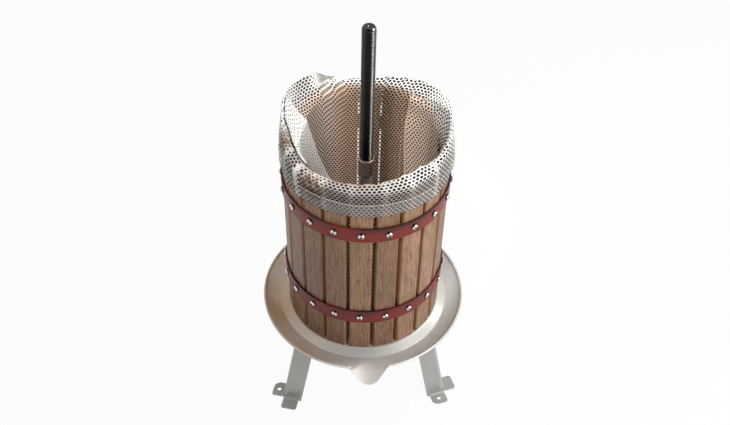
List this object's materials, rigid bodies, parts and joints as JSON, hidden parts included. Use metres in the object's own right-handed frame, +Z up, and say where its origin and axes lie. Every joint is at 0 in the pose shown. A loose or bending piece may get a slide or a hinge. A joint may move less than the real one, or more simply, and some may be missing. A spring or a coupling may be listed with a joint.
{
  "type": "fruit press",
  "caption": "Basket fruit press: slatted wooden basket with red hoops and a net bag, on a round tray with a pouring lip, splayed legs and a fixed central screw.",
  "frame": {"origin": "on the floor at the middle of the foot holes, on the axis of the screw", "axes": "+Z up along the screw, -Y towards the pouring lip, +X to the right as seen from the lip"},
  "size_m": [0.299, 0.3291, 0.643],
  "materials": {
    "beech": "oiled, fine flecks",
    "red_paint": "semi-gloss red",
    "polished_screws": "polished",
    "cream_enamel": "glossy cream white",
    "zinc_steel": "zinc plated",
    "dark_steel": "dark rolled steel",
    "white_net": "knitted polyester net"
  },
  "bodies": {
    "stand": {"tray": "cream_enamel", "left_leg": "cream_enamel", "right_leg": "cream_enamel", "back_leg": "cream_enamel", "leg_bolts": "zinc_steel", "leg_washers": "zinc_steel", "leg_nuts": "zinc_steel", "press_screw": "dark_steel", "stop_collar": "dark_steel", "hub_plate": "cream_enamel", "hub_washer": "zinc_steel", "hub_nut": "zinc_steel"},
    "basket": {"stave_01": "beech", "stave_02": "beech", "stave_03": "beech", "stave_04": "beech", "stave_05": "beech", "stave_06": "beech", "stave_07": "beech", "stave_08": "beech", "stave_09": "beech", "stave_10": "beech", "stave_11": "beech", "stave_12": "beech", "stave_13": "beech", "stave_14": "beech", "stave_15": "beech", "stave_16": "beech", "stave_17": "beech", "stave_18": "beech", "stave_19": "beech", "stave_20": "beech", "lower_hoop": "red_paint", "upper_hoop": "red_paint", "lower_hoop_screws": "polished_screws", "upper_hoop_screws": "polished_screws"},
    "bag": {"bag_tube": "white_net", "bag_bottom": "white_net", "bag_hem": "white_net"}
  },
  "joints": [
    {"name": "basket_lift", "type": "slide", "parent": "stand", "child": "basket", "axis": [0, 0, 1], "range_m": [0, 0.475]},
    {"name": "bag_lift", "type": "slide", "parent": "basket", "child": "bag", "axis": [0, 0, 1], "range_m": [0, 0.325]}
  ]
}
